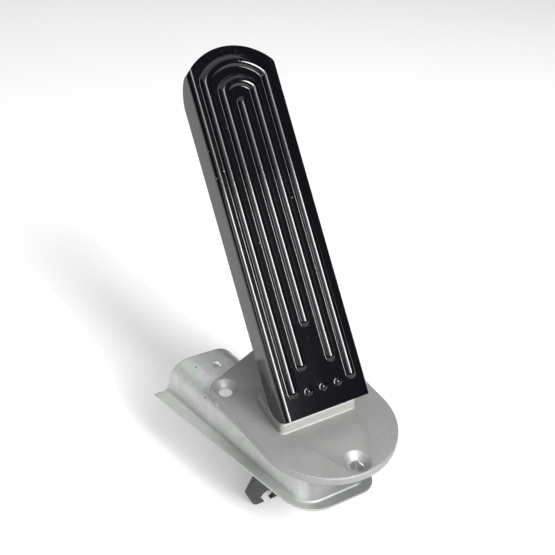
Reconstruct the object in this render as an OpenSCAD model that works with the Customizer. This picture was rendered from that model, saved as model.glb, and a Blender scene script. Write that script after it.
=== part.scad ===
// Floor-mounted organ-type accelerator pedal: a pressed treadle hinged in the collar of a cast
// base plate, with a pressed housing and a throttle lever below the floor.
// Frame: X to the right across the treadle, Y to the back, Z up from the floor.
// Origin: axis of the front fixing hole, in the plane of the plate's underside. Millimetres.

/* [Base plate] */
// Thickness of the plate
plate_t = 5.5; // [5:0.1:6.5]
// Radius of the big round front of the plate
plate_front_r = 45.8; // [44:0.1:48]
// Distance from the front fixing hole back to the centre of the round front
plate_front_y = 36; // [34:0.5:38]
// Radius of the plate's corner round each rear fixing hole
plate_lobe_r = 10; // [9.5:0.1:12]
// Rear left fixing hole, distance to the left of the front one
hole_left_x = 42.6; // [40:0.1:45]
// Rear left fixing hole, distance behind the front one
hole_left_y = 91; // [86:0.5:96]
// Rear right fixing hole, distance to the right of the front one
hole_right_x = 32; // [31.6:0.1:34]
// Rear right fixing hole, distance behind the front one
hole_right_y = 125.5; // [120:0.5:130]
// Diameter of the fixing holes, for M8 countersunk screws
bolt_d = 9; // [8.4:0.1:9.6]
// Diameter of the countersinks at the top
sink_d = 17; // [16:0.1:17.6]

/* [Collar] */
// Distance from the front fixing hole to the collar's front face
collar_y = 38; // [36:0.5:40]
// Width of the collar
collar_w = 56; // [54:0.5:58]
// Depth of the collar from front to back
collar_d = 33; // [32:0.5:36]
// Height of the collar above the plate
collar_h = 7.5; // [7:0.1:9]
// Corner radius of the collar seen from above
collar_r = 4; // [3:0.1:5]
// Width of the opening in the collar
mouth_w = 36; // [35:0.5:38]
// Wall of the collar in front of and behind the opening
mouth_wall = 4.5; // [4:0.1:5]
// Rounding of the collar's upper edge
edge_r = 1; // [0.6:0.1:1.4]

/* [Treadle] */
// Width of the treadle
treadle_w = 60; // [58:0.5:64]
// Length of the treadle along its centre
treadle_l = 228; // [210:1:240]
// Angle of the released treadle above the floor
treadle_lean = 50.2; // [48:0.1:52]
// Sheet thickness of the treadle
treadle_t = 1.5; // [1.2:0.1:1.8]
// Depth of the treadle's side flanges, from the tread face
treadle_depth = 19.5; // [18:0.1:21]
// Outer bend radius between the tread face and the flanges
bend_r = 3; // [2.6:0.1:3.4]
// Radius of the treadle's round top end
crown_r = 39.1; // [36:0.1:44]
// Offset of the treadle's centre plane to the left of the front fixing hole
treadle_off = 3; // [2:0.1:4]
// Distance that the treadle's bottom edge hangs in front of the collar
treadle_over = 9; // [8:0.1:10]
// Height of the treadle's bottom edge above the top of the plate
treadle_rise = 19.3; // [19:0.1:21]
// Place of the outer ribs, as a share of the treadle's width to each side of its centre
rib_outer_at = 0.34; // [0.33:0.005:0.35]
// Place of the inner ribs, as a share of the treadle's width to each side of its centre
rib_inner_at = 0.172; // [0.165:0.001:0.18]
// Width of a rib where it leaves the tread face
rib_w = 7; // [6.4:0.1:7.4]
// Height of a rib above the tread face
rib_h = 2; // [1.6:0.1:2.2]
// Spacing of the small domes near the bottom
dome_pitch = 10.4; // [9:0.1:11]
// Height of the domes' row above the treadle's bottom edge
dome_row = 13.2; // [12:0.1:14]
// Width of a dome
dome_w = 4.6; // [4:0.1:5]
// Height of a dome
dome_h = 1.3; // [1:0.1:1.5]

/* [Pivot] */
// Height of the pivot above the top of the plate
pivot_rise = 1; // [0.8:0.1:1.4]
// Distance from the collar's front face back to the pivot
pivot_back = 14; // [13.8:0.1:14.4]
// Diameter of the pivot pin
pin_d = 8; // [7.6:0.1:8.2]
// Radial running clearance of the bushes on the pin
run_gap = 0.05; // [0.02:0.01:0.08]
// Wall of the bearing bushes
bush_t = 0.95; // [0.8:0.05:1.1]
// Wall of the tube that carries the bushes
sleeve_t = 1.2; // [1:0.1:1.4]
// Thickness of the thrust washers beside the bracket
washer_t = 1.2; // [1:0.1:1.5]
// Thickness of the bracket's sheet
cheek_t = 2.5; // [2:0.1:3]
// Radius of the cheeks round the pivot
cheek_r = 8; // [7.6:0.1:8.2]
// Wire diameter of the return springs
wire_d = 1.8; // [1.6:0.1:1.9]
// Number of turns of each return spring
spring_turns = 3; // [2:1:3]

/* [Throttle lever] */
// Thickness of the lever
lever_t = 3; // [2.5:0.1:3.4]
// Width of the lever's head across its widest point
head_w = 33; // [31:0.5:34]
// Distance of the head's centre to the left of the treadle's centre plane
head_off = 22.5; // [21.5:0.1:23]
// Depth of the lever's lower edge below the plate's underside
lever_drop = 80; // [76:0.5:84]
// Height of the head's widest point above the lower edge
head_wide_h = 14.5; // [14:0.1:15]
// Height of the head's upper shoulder above the lower edge
head_top_h = 28.5; // [27:0.5:30]
// Diameter of the keyhole for the cable end
eye_d = 10.4; // [9.6:0.1:11]
// Height of the keyhole's centre above the lower edge
eye_h = 4.6; // [4.4:0.1:5]
// Width of the keyhole's mouth
mouth_gap = 4.4; // [4.1:0.1:5.2]

/* [Housing] */
// Sheet thickness of the housing
sheet_t = 1.5; // [1.2:0.1:1.6]
// Depth from the plate's underside to the top of the flange
house_h = 23.4; // [22.5:0.1:24]
// Distance from the front fixing hole back to the open end
house_back = 135.2; // [133:0.1:137]
// Distance from the front fixing hole back to the front wall's foot
house_front = 4.5; // [4:0.1:5]
// Left wall's foot at the open end, distance to the left of the front fixing hole
house_left = 67; // [66.5:0.1:68]
// Angle of the left wall to the Y axis
left_yaw = 15.3; // [15:0.1:15.6]
// Width over the walls' feet at the open end
house_w = 54; // [52:0.5:55]
// Angle of the right wall to the Y axis
right_yaw = 11.5; // [11:0.1:12]
// Draft of the walls
draft = 14; // [12:0.5:15]
// Outer radius between the side walls and the top
shoulder_r = 14; // [12:0.5:14]
// Outer radius between the front wall and the top
front_shoulder_r = 8; // [7:0.5:9]
// Radius of the upright corner between the left wall and the front wall
corner_r = 15; // [13:0.5:16]
// Width of the flange beyond the feet of the front and right walls
flange_w = 6.9; // [6.5:0.1:7.5]
// Left edge of the flange at the open end, distance to the left of the front fixing hole
flange_left = 76.5; // [76:0.1:77]
// Angle of the flange's left edge to the Y axis
flange_yaw = 16.9; // [16.6:0.1:17.2]
// Lanced hole in the top, distance to the left of the front fixing hole
lance_x = 35.4; // [34:0.1:37]
// Lanced hole in the top, distance from the open end
lance_back = 14.5; // [13:0.5:16]
// Width of the small lanced hole in the top
lance_w = 6; // [5:0.1:7]
// Length of the small lanced hole in the top
lance_l = 7; // [6:0.1:8]
// Radius of the flange's left front corner
flange_r = 25; // [23:0.5:26]
// Radius of the flange's right front corner
flange_r_right = 12.5; // [11:0.5:14]

/* [Hidden] */
$fn = 48;
// Overlap of a cut, length of a through cut, and clearance between neighbouring pieces
eps = 0.01;
cut = 40;
seat_gap = 0.3;

// Places that follow from the driving sizes
mid_x = -treadle_off;
top_z = plate_t;
collar_top = top_z + collar_h;
pivot = [mid_x, collar_y + pivot_back, top_z + pivot_rise];
toe = [mid_x, collar_y - treadle_over, top_z + treadle_rise];
mouth_y0 = collar_y + mouth_wall;
mouth_y1 = collar_y + collar_d - mouth_wall;
lobes = [
    [0, plate_front_y, plate_front_r],
    [hole_right_x, hole_right_y, plate_lobe_r],
    [-hole_left_x, hole_left_y, plate_lobe_r]
];
holes = [[0, 0], [hole_right_x, hole_right_y], [-hole_left_x, hole_left_y]];

// Bearing stack on the pin, from the centre outwards
pin_r = pin_d / 2;
bush_r = pin_r + run_gap + bush_t;
sleeve_r = bush_r + sleeve_t;
cheek_w = mouth_w - 2 * (washer_t + seat_gap);
bush_l = 10;
washer_r = pin_r + 3;
blind_depth = 6;
ring_pocket_r = pin_r + 2.2;
ring_pocket_d = 2.6;
ring_t = 1;
groove_depth = 0.6;
groove_x = mid_x + collar_w / 2 - ring_pocket_d + 0.1;

// Return springs, one on each side of the bracket's tongue
coil_r = sleeve_r + 0.8 + wire_d / 2;
coil_pitch = wire_d + 0.12;
coil_steps = 20;
fixed_a = 70;
moving_a = 80;
moving_leg = 2.4;
spring_gap = 0.4;
spring_l = coil_pitch * (spring_turns + (moving_a - fixed_a) / 360) + wire_d;
tongue_w = cheek_w - 2 * (cheek_t + spring_l + 2 * spring_gap);
neck_w = tongue_w - 0.4;

// Idle stop and full-throttle stop
bumper_r = 3.2;
bumper_z = collar_top - bumper_r - 1.3;
bumper_seat = 2;
thread_gap = 0.02;
tongue_y = pivot[1] - sleeve_r - 0.4;
throttle_max = 18;
stop_x = mid_x - 7;
stop_z = -9;
stop_r = 3;
lug_w = 12;
lug_y0 = collar_y - 4;
lug_l = 8;
nut_h = 4;
nut_af = 10;
bolt_head_h = 4;

// Screws between the housing and the plate
screw_r = 2.5;
screw_depth = 3.9;
screw_head_r = 4.2;
screw_head_h = 2;
screw_room = 0.3;
screw_spots = [[-13.4, 22.8], [-26.5, 78], [-28.8, 90], [-31, 101.5]];

// Rib sections: circles sunk below the tread face
rib_r = (rib_w * rib_w / 4 + rib_h * rib_h) / (2 * rib_h);
rib_sink = rib_r - rib_h;
rib_outer = rib_outer_at * treadle_w;
rib_inner = rib_inner_at * treadle_w;
dome_r = (dome_w * dome_w / 4 + dome_h * dome_h) / (2 * dome_h);
crown_c = treadle_l - crown_r;
foot_outer = 15.8;
foot_inner = 29.7;
foot_centre = 54.5;
head_centre = 192;
tip_outer = treadle_l - 9.6;
tip_inner = tip_outer - 12.3;

// Flange ends of the treadle in side view
heel_r = 12;
nose_r = 20;
nose_c = crown_c + sqrt(pow(crown_r, 2) - pow(treadle_w / 2, 2)) - nose_r + 1;

function unit(a) = [cos(a), sin(a)];
function dir_angle(p, q) = atan2(q[1] - p[1], q[0] - p[0]);

// Angle at which the outer tangent from circle p to circle q touches both, counterclockwise round
function touch(p, q) =
    dir_angle(p, q) - acos((p[2] - q[2]) / norm([q[0] - p[0], q[1] - p[1]]));

// The two tangent points between lobes p and q
function tangent(p, q) = [for (c = [p, q]) [c[0], c[1]] + c[2] * unit(touch(p, q))];

module at_treadle() {
    translate(toe) rotate([treadle_lean, 0, 0]) children();
}

// A ring with a round section
module torus(ring, r) {
    rotate_extrude() translate([ring, 0]) circle(r);
}

// A cylinder that starts at p and runs along X
module bar_x(p, length, r) {
    translate(p) rotate([0, 90, 0]) cylinder(h = length, r = r);
}

// A cylinder that starts at p and runs along Y
module bar_y(p, length, r) {
    translate(p) rotate([-90, 0, 0]) cylinder(h = length, r = r);
}

// Outline in the YZ plane, extruded along X from x0
module side_profile(x0, width) {
    translate([x0, 0, 0]) rotate([90, 0, 90]) linear_extrude(width) children();
}

// The plate seen from above: three round lobes and the tangents between them
module plate_outline() {
    polygon([for (i = [0:2]) each tangent(lobes[i], lobes[(i + 1) % 3])]);
    for (c = lobes) translate([c[0], c[1]]) circle(c[2], $fn = 96);
}

// A block with round vertical corners and a rounded upper edge, standing on z = 0
module collar_block(w, d, h, r) {
    xs = [-w / 2 + r, w / 2 - r];
    ys = [r, d - r];
    rim_z = h - edge_r;
    translate([-w / 2, r, 0]) cube([w, d - 2 * r, rim_z]);
    translate([-w / 2 + r, 0, 0]) cube([w - 2 * r, d, rim_z]);
    translate([-w / 2 + edge_r, r, 0]) cube([w - 2 * edge_r, d - 2 * r, h]);
    translate([-w / 2 + r, edge_r, 0]) cube([w - 2 * r, d - 2 * edge_r, h]);
    for (x = xs) for (y = ys) translate([x, y, 0]) {
        cylinder(h = rim_z, r = r);
        cylinder(h = h, r = r - edge_r);
        translate([0, 0, rim_z]) torus(r - edge_r, edge_r);
    }
    for (y = [edge_r, d - edge_r]) bar_x([xs[0], y, rim_z], xs[1] - xs[0], edge_r);
    for (x = [-w / 2 + edge_r, w / 2 - edge_r]) bar_y([x, ys[0], rim_z], ys[1] - ys[0], edge_r);
}

// Through hole with a 90 degree countersink from the top
module fixing_hole() {
    sink_h = (sink_d - bolt_d) / 2;
    translate([0, 0, -eps]) cylinder(h = plate_t + 1, r = bolt_d / 2);
    translate([0, 0, plate_t - sink_h]) cylinder(h = sink_h, r1 = bolt_d / 2, r2 = sink_d / 2);
    translate([0, 0, plate_t]) cylinder(h = 1, r = sink_d / 2);
}

// Cast plate with the collar, the stop lug, the pivot bores and all holes
module base_plate() {
    bore_x = mid_x - mouth_w / 2 - blind_depth;
    right_x = mid_x + collar_w / 2;
    color("darkgray") difference() {
        union() {
            linear_extrude(plate_t) plate_outline();
            translate([mid_x, collar_y, plate_t - 1])
                collar_block(collar_w, collar_d, collar_h + 1, collar_r);
            translate([stop_x - lug_w / 2, lug_y0, stop_z]) cube([lug_w, lug_l, -stop_z + 1]);
            bar_y([stop_x, lug_y0, stop_z], lug_l, lug_w / 2);
        }
        translate([mid_x - mouth_w / 2, mouth_y0, -1])
            cube([mouth_w, mouth_y1 - mouth_y0, collar_top + 2]);
        for (h = holes) translate(h) fixing_hole();
        bar_x([bore_x, pivot[1], pivot[2]], collar_w, pin_r);
        bar_x([right_x - ring_pocket_d, pivot[1], pivot[2]], ring_pocket_d + 1, ring_pocket_r);
        bar_y([mid_x, mouth_y0 - bumper_seat, bumper_z], bumper_seat + 1, bumper_r);
        bar_y([stop_x, lug_y0 - 1, stop_z], lug_l + 2, stop_r + thread_gap);
        for (s = screw_spots) translate([s[0], s[1], -1])
            cylinder(h = screw_depth + 1, r = screw_r + thread_gap);
    }
}

// Room round the pivot's slot and the fixing screws, and the tab that the lance bends down
slot_room = 1;
bolt_room = 2.5;
lance = [-lance_x, house_back - lance_back];
tab_w = 4.4;
tab_lean = 25;

// Lines of the housing's walls at the level of the flange: a point and a direction angle
left_foot = [-house_left, house_back];
right_foot = [-house_left + house_w, house_back];
left_dir = 90 + left_yaw;
right_dir = 90 + right_yaw;

// Where a line through p at angle a meets the line y = y_level
function meet(p, a, y_level) = [p[0] + (y_level - p[1]) / tan(a), y_level];

// Everything inside one wall line, up to the top, with draft and a round shoulder. Local X points
// inwards from the wall's foot, local Y up, and inset moves the whole section inwards.
module wall_section(shoulder, inset) {
    r = shoulder - inset;
    run = tan(45 - draft / 2) * r;
    top = house_h - inset;
    foot = inset / cos(draft);
    lean_x = foot + top * tan(draft);
    centre = [lean_x + run, top - r];
    knee = centre + r * unit(180 - draft);
    polygon([[foot, 0], [200, 0], [200, top], [centre[0], top], centre, knee]);
    intersection() {
        translate(centre) circle(r);
        polygon([centre, knee, knee + [0, r * 2], [centre[0], centre[1] + r * 2]]);
    }
}

// Everything but what lies outside the round upright corner of the left and front walls
module corner_keep(inset) {
    reach = corner_r - seat_gap / 2;
    inner = left_foot + reach * [sin(left_dir), -cos(left_dir)];
    c = meet(inner, left_dir, house_front + reach);
    side = [-sin(left_dir), cos(left_dir)];
    far = 300;
    polygon([
        c, c + far * side, c + far * (side + unit(left_dir)), [far, far], [far, c[1] - far], [c[0], c[1] - far]
    ]);
    translate(c) circle(corner_r - inset);
}

// The solid inside the walls and the top, its feet at z = -house_h
module hat_solid(inset, back) {
    long = 400;
    intersection() {
        translate([left_foot[0], left_foot[1], -house_h]) rotate([90, 0, left_dir - 90])
            translate([0, 0, -long / 2]) linear_extrude(long) wall_section(shoulder_r, inset);
        translate([right_foot[0], right_foot[1], -house_h]) rotate([90, 0, right_dir - 90])
            mirror([1, 0, 0]) translate([0, 0, -long / 2]) linear_extrude(long)
                wall_section(shoulder_r, inset);
        translate([0, house_front, -house_h]) rotate([90, 0, 90])
            translate([0, 0, -long / 2]) linear_extrude(long) wall_section(front_shoulder_r, inset);
        translate([-long / 2, 0, -house_h - 1]) cube([long, back, house_h + 2]);
        translate([0, 0, -house_h - 1]) linear_extrude(house_h + 2) corner_keep(inset);
    }
}

// The flange's two side edges: a point and a direction angle
flange_dir = 90 + flange_yaw;
edge_left = [-flange_left, house_back];
edge_right = right_foot + flange_w * [sin(right_dir), -cos(right_dir)];

// Centre of a flange corner: the arc of radius r touches a side edge and the front edge
function flange_corner(edge, a, side, r) =
    let (inner = edge - side * r * [sin(a), -cos(a)])
    meet(inner, a, house_front - flange_w + r);

corner_left = flange_corner(edge_left, flange_dir, -1, flange_r);
corner_right = flange_corner(edge_right, right_dir, 1, flange_r_right);

// The flange seen from above, running on behind the open end
module flange_outline() {
    back_y = house_back + 50;
    out_left = [-sin(flange_dir), cos(flange_dir)];
    out_right = [sin(right_dir), -cos(right_dir)];
    polygon([
        corner_left - [0, flange_r],
        corner_right - [0, flange_r_right],
        corner_right,
        corner_right + flange_r_right * out_right,
        meet(edge_right, right_dir, back_y),
        meet(edge_left, flange_dir, back_y),
        corner_left + flange_r * out_left,
        corner_left
    ]);
    translate(corner_left) circle(flange_r);
    translate(corner_right) circle(flange_r_right);
}

// Pressed hat section with flange, clearance cuts and the lanced tab
module housing() {
    color("lightgray") {
        difference() {
            union() {
                difference() {
                    hat_solid(0, house_back);
                    hat_solid(sheet_t, house_back + 1);
                }
                difference() {
                    intersection() {
                        translate([0, 0, -house_h - sheet_t]) linear_extrude(sheet_t) flange_outline();
                        translate([-200, -60, -house_h - cut]) cube([400, 60 + house_back, 2 * cut]);
                    }
                    translate([0, 0, -sheet_t - eps]) hat_solid(sheet_t, house_back + 1);
                    hat_solid(sheet_t, house_back + 1);
                }
            }
            housing_cuts();
        }
        translate([lance[0] - lance_w / 2, lance[1] - tab_w / 2, -sheet_t]) rotate([0, tab_lean, 0])
            translate([-1, 0, 0]) cube([lance_w - 1, tab_w, sheet_t - 0.4]);
    }
}

// Openings in the housing: for the pivot and arm, the fixing screws, the cover screws and the lance
module housing_cuts() {
    slot_x0 = mid_x - mouth_w / 2 - slot_room;
    slot_y0 = lug_y0 - 2 * slot_room;
    slot_x1 = mid_x + mouth_w / 2 + 3 * slot_room;
    slot_y1 = mouth_y1 + 3 * slot_room;
    low_z = -house_h / 2;
    translate([slot_x0, slot_y0, low_z]) cube([slot_x1 - slot_x0, slot_y1 - slot_y0, cut]);
    for (h = holes) translate([h[0], h[1], low_z]) cylinder(h = cut, r = bolt_d / 2 + bolt_room);
    for (s = screw_spots) translate([s[0], s[1], low_z]) cylinder(h = cut, r = screw_r + screw_room);
    translate([lance[0] - lance_w / 2, lance[1] - lance_l / 2, -sheet_t - 1])
        cube([lance_w, lance_l, sheet_t + 2]);
}

// Section of a rib from mid-sheet upwards: part of a circle of radius r sunk below the tread face
module rib_section(r, floor) {
    intersection() {
        translate([0, -rib_sink]) circle(r);
        translate([-rib_w, floor]) square([2 * rib_w, 2 * rib_h - floor]);
    }
}

// Straight rib along local Y
module rib_leg(x, y0, y1, r, floor) {
    translate([x, y1, 0]) rotate([90, 0, 0]) linear_extrude(y1 - y0) rib_section(r, floor);
}

// Round end of a rib, turned to the front (180) or to the back (0)
module rib_end(x, y, turn, r, floor) {
    translate([x, y, 0]) rotate([0, 0, turn]) rotate_extrude(angle = 180) intersection() {
        rib_section(r, floor);
        translate([0, -rib_w]) square([rib_w, 2 * rib_w]);
    }
}

// Two legs joined by a half circle
module rib_loop(half, foot, loop_tip, r, floor) {
    head = loop_tip - half;
    for (side = [-1, 1]) {
        rib_leg(side * half, foot, head, r, floor);
        rib_end(side * half, foot, 180, r, floor);
    }
    translate([0, head, 0]) rotate_extrude(angle = 180) translate([half, 0]) rib_section(r, floor);
}

// All ribs: the outer and the inner loop and the centre rib
module ribs(r, floor) {
    rib_loop(rib_outer, foot_outer, tip_outer, r, floor);
    rib_loop(rib_inner, foot_inner, tip_inner, r, floor);
    rib_leg(0, foot_centre, head_centre, r, floor);
    rib_end(0, foot_centre, 180, r, floor);
    rib_end(0, head_centre, 0, r, floor);
}

// Channel section of the treadle, as a solid bar along local Y, less an inset
module channel_bar(inset) {
    half = treadle_w / 2 - inset;
    r = bend_r - inset;
    depth = treadle_depth + (inset > 0 ? 5 : 0);
    y0 = inset > 0 ? -5 : 0;
    y1 = treadle_l + (inset > 0 ? 5 : 0);
    translate([-half + r, y0, -depth]) cube([2 * half - 2 * r, y1 - y0, depth - inset]);
    translate([-half, y0, -depth]) cube([2 * half, y1 - y0, depth - inset - r]);
    for (x = [-half + r, half - r]) bar_y([x, y0, -inset - r], y1 - y0, r);
}

// Side view of the treadle: square toe, round heel of the flange, round upper end of the flange
module treadle_side() {
    w = treadle_w + 10;
    translate([-w / 2, 0, 0]) {
        translate([0, heel_r, -nose_r]) cube([w, nose_c - heel_r, nose_r + 10]);
        translate([0, 0, -treadle_depth + heel_r]) cube([w, nose_c, treadle_depth - heel_r + 10]);
        bar_x([0, heel_r, -treadle_depth + heel_r], w, heel_r);
        bar_x([0, nose_c, 0], w, nose_r);
        translate([0, nose_c, -treadle_t]) cube([w, treadle_l - nose_c + 5, treadle_t + 10]);
    }
}

// A dome from mid-sheet upwards
module dome_cap() {
    rotate_extrude() intersection() {
        translate([0, dome_h - dome_r]) circle(dome_r);
        translate([0, -treadle_t / 2]) square([dome_w, dome_w]);
    }
}

// Pressed treadle with raised ribs and domes, hollow behind
module treadle() {
    color("black") at_treadle() difference() {
        union() {
            intersection() {
                difference() {
                    channel_bar(0);
                    channel_bar(treadle_t);
                }
                treadle_side();
                union() {
                    translate([0, crown_c, -30]) cylinder(h = 60, r = crown_r, $fn = 96);
                    translate([-treadle_w, -10, -30]) cube([2 * treadle_w, crown_c + 10, 60]);
                }
            }
            ribs(rib_r, -treadle_t / 2);
            for (i = [-1:1]) translate([i * dome_pitch, dome_row, 0]) dome_cap();
        }
        ribs(rib_r - treadle_t, -2 * treadle_t);
        for (i = [-1:1]) translate([i * dome_pitch, dome_row, dome_h - dome_r]) sphere(dome_r - treadle_t);
    }
}

// A point given along and behind the tread face, in the YZ plane of the part
function on_tread(along, behind) = [
    toe[1] + along * cos(treadle_lean) + behind * sin(treadle_lean),
    toe[2] + along * sin(treadle_lean) - behind * cos(treadle_lean)
];

web_end = 75;
web_start = 4;
web_top = on_tread(web_end, treadle_t);
web_low = on_tread(web_start, treadle_t);
web_top_in = on_tread(web_end, treadle_t + cheek_t);
web_low_in = on_tread(web_start + 1, treadle_t + cheek_t);
knee_z = collar_top + 1.5;
knee_z_in = knee_z + cheek_t * tan(treadle_lean / 2) + 0.2;
cheek_back = [pivot[1] + cheek_r, pivot[2]];
cheek_edge = cheek_back + [1, 11];

// Pressed bracket: a web under the tread that runs down into a tongue, and two cheeks to the pivot
module arm_bracket() {
    half = cheek_w / 2;
    color("dimgray") difference() {
        union() {
            for (x = [mid_x - half, mid_x + half - cheek_t]) {
                side_profile(x, cheek_t) polygon([
                    web_top, web_low, [tongue_y, knee_z], [tongue_y, pivot[2]],
                    [pivot[1], pivot[2]], cheek_back, cheek_edge
                ]);
                bar_x([x, pivot[1], pivot[2]], cheek_t, cheek_r);
            }
            side_profile(mid_x - half, cheek_w) polygon([
                web_top, web_low, [tongue_y, knee_z], [tongue_y + cheek_t, knee_z_in],
                web_low_in, web_top_in
            ]);
            side_profile(mid_x - tongue_w / 2, tongue_w) polygon([
                [tongue_y, knee_z], [tongue_y + cheek_t, knee_z_in],
                [tongue_y + cheek_t, pivot[2]], [tongue_y, pivot[2]]
            ]);
        }
        bar_x([mid_x - half - 1, pivot[1], pivot[2]], cheek_w + 2, sleeve_r);
    }
}

// Tube welded between the cheeks
module arm_sleeve() {
    half = cheek_w / 2;
    color("dimgray") difference() {
        bar_x([mid_x - half, pivot[1], pivot[2]], cheek_w, sleeve_r);
        bar_x([mid_x - half - 1, pivot[1], pivot[2]], cheek_w + 2, bush_r);
    }
}

// Lever, seen from behind: the head's centre and the heights of its corners
head_x = mid_x - head_off;
wide_z = -lever_drop + head_wide_h;
foot_w = 0.59 * head_w;
neck_x = [mid_x - neck_w / 2, mid_x + neck_w / 2];
neck_top = pivot[2] + 4;
neck_low = pivot[2] - coil_r;
crook_x = neck_x[1] - 11.4;
crook_z = -18;

// Plate welded behind the sleeve: a neck that leans to the left and a head with a keyhole
module throttle_lever() {
    back_y = pivot[1] + sleeve_r + lever_t;
    color("dimgray") translate([0, back_y, 0]) rotate([90, 0, 0]) linear_extrude(lever_t)
        difference() {
            polygon([
                [neck_x[0], neck_top],
                [neck_x[0], neck_low - 2],
                [head_x - 0.315 * head_w, -lever_drop + head_top_h],
                [head_x - head_w / 2, wide_z + 1],
                [head_x - head_w / 2, wide_z],
                [head_x - foot_w / 2 - 1.6, -lever_drop + 2.5],
                [head_x - foot_w / 2 + 1, -lever_drop],
                [head_x + foot_w / 2, -lever_drop],
                [head_x + head_w / 2, wide_z],
                [head_x + head_w / 2, wide_z + 3],
                [crook_x, crook_z],
                [neck_x[1], neck_low],
                [neck_x[1], neck_top]
            ]);
            translate([head_x, -lever_drop + eye_h]) circle(eye_d / 2);
            translate([head_x - mouth_gap / 2, -lever_drop - 5]) square([mouth_gap, 5 + eye_h]);
        }
}

// Hinge pin, from the blind bore on the left to the ring pocket on the right
module pivot_pin() {
    x0 = mid_x - mouth_w / 2 - blind_depth + 0.5;
    x1 = mid_x + collar_w / 2 - 0.4;
    color("silver") difference() {
        bar_x([x0, pivot[1], pivot[2]], x1 - x0, pin_r);
        difference() {
            bar_x([groove_x, pivot[1], pivot[2]], ring_t, pin_r + 1);
            bar_x([groove_x - 1, pivot[1], pivot[2]], ring_t + 2, pin_r - groove_depth);
        }
    }
}

// Retaining ring in the pin's groove
module pin_circlip() {
    color("dimgray") difference() {
        bar_x([groove_x, pivot[1], pivot[2]], ring_t, ring_pocket_r - 0.3);
        bar_x([groove_x - 1, pivot[1], pivot[2]], ring_t + 2, pin_r - groove_depth);
        translate([groove_x - 1, pivot[1] - 1.6, pivot[2] - 10]) cube([ring_t + 2, 3.2, 10]);
    }
}

// Plain bush, side -1 on the left and 1 on the right
module bush(side) {
    x0 = mid_x + side * (cheek_w - bush_l) / 2 - bush_l / 2;
    color("goldenrod") difference() {
        bar_x([x0, pivot[1], pivot[2]], bush_l, bush_r);
        bar_x([x0 - 1, pivot[1], pivot[2]], bush_l + 2, pin_r + run_gap);
    }
}

// Thrust washer between a cheek and the collar
module washer(side) {
    x0 = mid_x + side * (cheek_w + seat_gap + washer_t) / 2 - washer_t / 2;
    color("silver") difference() {
        bar_x([x0, pivot[1], pivot[2]], washer_t, washer_r);
        bar_x([x0 - 1, pivot[1], pivot[2]], washer_t + 2, pin_r + run_gap);
    }
}

// Path of a return spring's wire, with a fixed leg to the collar's back wall and a moving leg under
// the bracket's web
fixed_leg = (mouth_y1 - seat_gap - wire_d / 2 - pivot[1] - coil_r * cos(fixed_a)) / sin(fixed_a);

function coil_point(a, x) = [x, pivot[1] + coil_r * cos(a), pivot[2] + coil_r * sin(a)];

function spring_path(x0) =
    let (turn = 360 * spring_turns + moving_a - fixed_a)
    let (n = round(coil_steps * turn / 360))
    concat(
        [coil_point(fixed_a, x0) + fixed_leg * [0, sin(fixed_a), -cos(fixed_a)]],
        [for (i = [0:n]) coil_point(fixed_a + turn * i / n, x0 + coil_pitch * turn / 360 * i / n)],
        [coil_point(fixed_a + turn, x0 + coil_pitch * turn / 360)
            + moving_leg * [0, -sin(fixed_a + turn), cos(fixed_a + turn)]]
    );

// Tube swept along a path whose steps stay square to X
module wire(path) {
    sides = 8;
    last = len(path) - 1;
    function heading(i) = path[min(i + 1, last)] - path[max(i - 1, 0)];
    function across(t) = cross(t, [1, 0, 0]) / norm(cross(t, [1, 0, 0]));
    points = [
        for (i = [0:last]) for (k = [0:sides - 1])
            path[i] + wire_d / 2 * (cos(360 * k / sides) * [1, 0, 0]
                + sin(360 * k / sides) * across(heading(i)))
    ];
    faces = concat(
        [[for (k = [0:sides - 1]) k]],
        [for (i = [0:last - 1]) for (k = [0:sides - 1]) [
            i * sides + k, (i + 1) * sides + k,
            (i + 1) * sides + (k + 1) % sides, i * sides + (k + 1) % sides
        ]],
        [[for (k = [sides - 1:-1:0]) last * sides + k]]
    );
    polyhedron(points, faces);
}

// Return spring, side -1 on the left of the tongue and 1 on the right
module spring(side) {
    middle = mid_x + side * (tongue_w / 2 + spring_gap + spring_l / 2);
    color("slategray") wire(spring_path(middle - spring_l / 2 + wire_d / 2));
}

// Rubber pad in the collar's front wall that the released bracket leans on
module idle_bumper() {
    seat_y = mouth_y0 - bumper_seat;
    color("black") bar_y([mid_x, seat_y, bumper_z], tongue_y - seat_gap / 2 - seat_y, bumper_r);
}

// Full-throttle stop: where the lever's face is when the pedal is pressed home
reach = sleeve_r * cos(throttle_max) + (stop_z - pivot[2]) * sin(throttle_max);
stop_tip = pivot[1] + reach - 0.6;

module stop_screw() {
    head_y = lug_y0 - nut_h - bolt_head_h - 1;
    color("silver") {
        bar_y([stop_x, head_y + 1, stop_z], stop_tip - head_y - 1, stop_r);
        translate([stop_x, head_y, stop_z]) rotate([-90, 0, 0])
            cylinder(h = bolt_head_h, d = nut_af / cos(30), $fn = 6);
    }
}

module stop_locknut() {
    color("silver") difference() {
        translate([stop_x, lug_y0 - nut_h - 0.2, stop_z]) rotate([-90, 0, 0])
            cylinder(h = nut_h, d = nut_af / cos(30), $fn = 6);
        bar_y([stop_x, lug_y0 - nut_h - 2, stop_z], nut_h + 4, stop_r + thread_gap);
    }
}

// Pan-head screw from inside the housing into the plate
module cover_screw(i) {
    seat_z = -sheet_t - 0.1;
    color("silver") translate([screw_spots[i][0], screw_spots[i][1], 0]) {
        translate([0, 0, seat_z]) cylinder(h = screw_depth - 0.2 - seat_z, r = screw_r);
        translate([0, 0, seat_z - screw_head_h]) cylinder(h = screw_head_h, r = screw_head_r);
    }
}

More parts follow.
